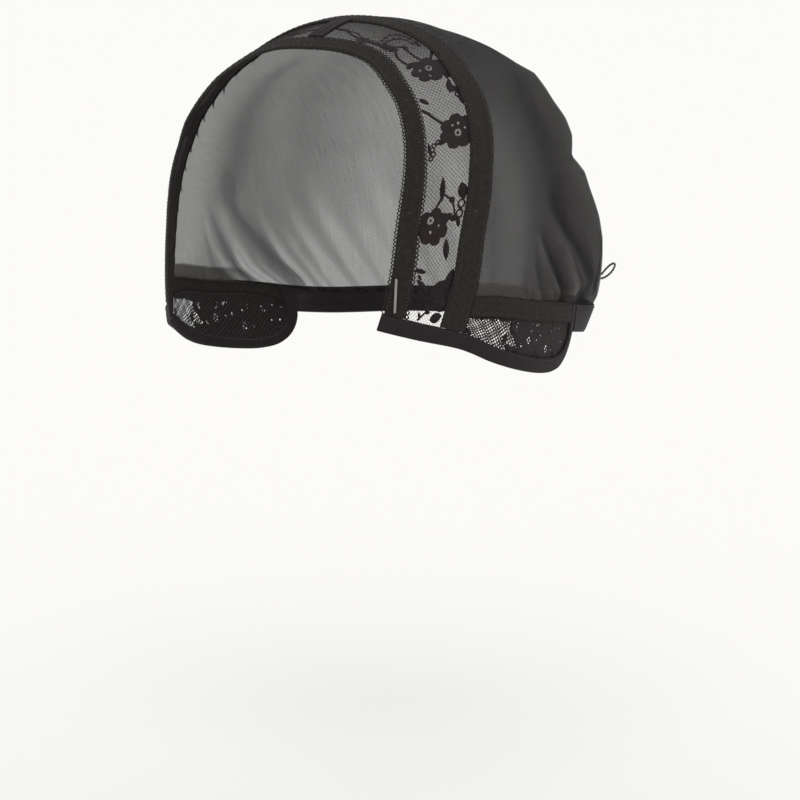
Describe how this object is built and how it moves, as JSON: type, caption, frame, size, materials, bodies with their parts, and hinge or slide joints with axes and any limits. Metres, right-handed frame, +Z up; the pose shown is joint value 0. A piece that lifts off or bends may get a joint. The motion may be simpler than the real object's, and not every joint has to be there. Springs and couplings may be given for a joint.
{
  "type": "wig cap",
  "caption": "Stretch mesh wig cap with a floral lace strip between elastic bands, bound lace lobes over the ears, an elastic nape strap and a thread loop.",
  "frame": {"origin": "inside of the crown at its highest point, on the cap's middle plane, where the top of the wearer's head sits", "axes": "+Z up, the face opening toward -Y, the nape toward +Y, +X toward the wearer's left"},
  "size_m": [0.1578, 0.1832, 0.1381],
  "materials": {
    "crown_mesh": "matte",
    "knitted_elastic": "matte",
    "lace": "matte",
    "binding": "satin",
    "woven_elastic": "satin",
    "thread": "satin",
    "steel": "polished"
  },
  "bodies": {
    "root": {"crown": "crown_mesh", "front_band": "knitted_elastic", "crown_band": "knitted_elastic", "side_band_left": "knitted_elastic", "side_band_right": "knitted_elastic", "lace_strip_left": "lace", "lace_strip_right": "lace", "nape_lace_left": "lace", "nape_lace_right": "lace", "centre_seam": "binding", "hem_left": "binding", "hem_right": "binding", "nape_strap": "woven_elastic", "thread_loop": "thread", "tab_pin": "steel"}
  },
  "joints": []
}
